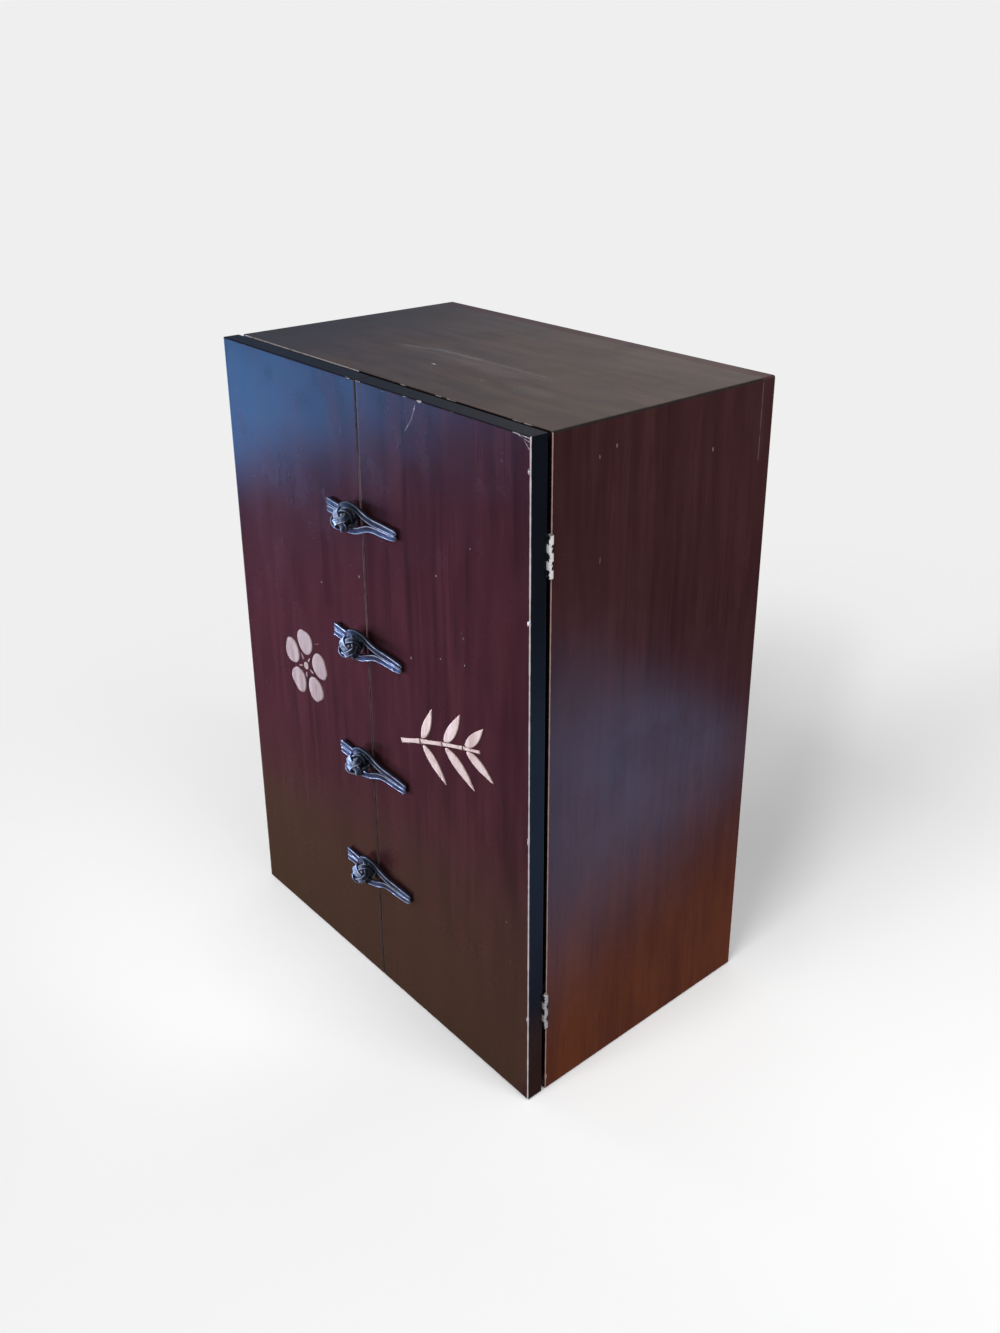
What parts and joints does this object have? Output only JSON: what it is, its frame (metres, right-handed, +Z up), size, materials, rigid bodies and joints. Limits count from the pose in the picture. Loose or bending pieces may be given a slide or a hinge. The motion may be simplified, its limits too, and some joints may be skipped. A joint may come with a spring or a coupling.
{
  "type": "wooden storage case with doors",
  "caption": "Tall dark lacquered wooden case with overlay doors that meet at a centre seam, small butt hinges and cord frog fasteners, for shoe care things.",
  "frame": {"origin": "centre of the case's underside", "axes": "+X to the right seen from the front, +Y to the back, +Z up; the doors are at -Y"},
  "size_m": [0.3258, 0.2193, 0.45],
  "materials": {
    "case_wood": "dark brown-red lacquer, semi-gloss, worn at the edges",
    "door_wood": "dark maroon lacquer, semi-gloss, worn at the edges",
    "shelf_wood": "stained, satin",
    "hinge_nickel": "nickel plated",
    "nail_steel": "dull steel",
    "cord_leather": "blue-black, waxed"
  },
  "bodies": {
    "case": {"left_side": "case_wood", "right_side": "case_wood", "top_board": "case_wood", "bottom_board": "case_wood", "back_board": "case_wood", "shelf": "shelf_wood", "back_nails": "nail_steel", "upper_left_case_leaf": "hinge_nickel", "lower_left_case_leaf": "hinge_nickel", "upper_left_hinge_pin": "hinge_nickel", "lower_left_hinge_pin": "hinge_nickel", "upper_right_case_leaf": "hinge_nickel", "lower_right_case_leaf": "hinge_nickel", "upper_right_hinge_pin": "hinge_nickel", "lower_right_hinge_pin": "hinge_nickel", "case_screws": "hinge_nickel"},
    "left_door": {"left_door": "door_wood", "upper_left_door_leaf": "hinge_nickel", "lower_left_door_leaf": "hinge_nickel", "left_door_screws": "hinge_nickel", "frog_1_knot": "cord_leather", "frog_2_knot": "cord_leather", "frog_3_knot": "cord_leather", "frog_4_knot": "cord_leather"},
    "right_door": {"right_door": "door_wood", "upper_right_door_leaf": "hinge_nickel", "lower_right_door_leaf": "hinge_nickel", "right_door_screws": "hinge_nickel", "frog_1_loop_tail": "cord_leather", "frog_2_loop_tail": "cord_leather", "frog_3_loop_tail": "cord_leather", "frog_4_loop_tail": "cord_leather"},
    "loop_1": {"frog_1_loop_eye": "cord_leather"},
    "loop_2": {"frog_2_loop_eye": "cord_leather"},
    "loop_3": {"frog_3_loop_eye": "cord_leather"},
    "loop_4": {"frog_4_loop_eye": "cord_leather"}
  },
  "joints": [
    {"name": "left_door_swing", "type": "hinge", "parent": "case", "child": "left_door", "pos_m": [-0.1612, -0.09525, 0.225], "axis": [0, 0, -1], "range_deg": [0, 180]},
    {"name": "right_door_swing", "type": "hinge", "parent": "case", "child": "right_door", "pos_m": [0.1612, -0.09525, 0.225], "axis": [0, 0, 1], "range_deg": [0, 180]},
    {"name": "frog_1_loop_lift", "type": "hinge", "parent": "right_door", "child": "loop_1", "pos_m": [0.0117, -0.1112, 0.36], "axis": [0, 0, 1], "range_deg": [0, 60], "deforming": ["frog_1_loop_eye"]},
    {"name": "frog_2_loop_lift", "type": "hinge", "parent": "right_door", "child": "loop_2", "pos_m": [0.0117, -0.1112, 0.27], "axis": [0, 0, 1], "range_deg": [0, 60], "deforming": ["frog_2_loop_eye"]},
    {"name": "frog_3_loop_lift", "type": "hinge", "parent": "right_door", "child": "loop_3", "pos_m": [0.0117, -0.1112, 0.18], "axis": [0, 0, 1], "range_deg": [0, 60], "deforming": ["frog_3_loop_eye"]},
    {"name": "frog_4_loop_lift", "type": "hinge", "parent": "right_door", "child": "loop_4", "pos_m": [0.0117, -0.1112, 0.09], "axis": [0, 0, 1], "range_deg": [0, 60], "deforming": ["frog_4_loop_eye"]}
  ]
}
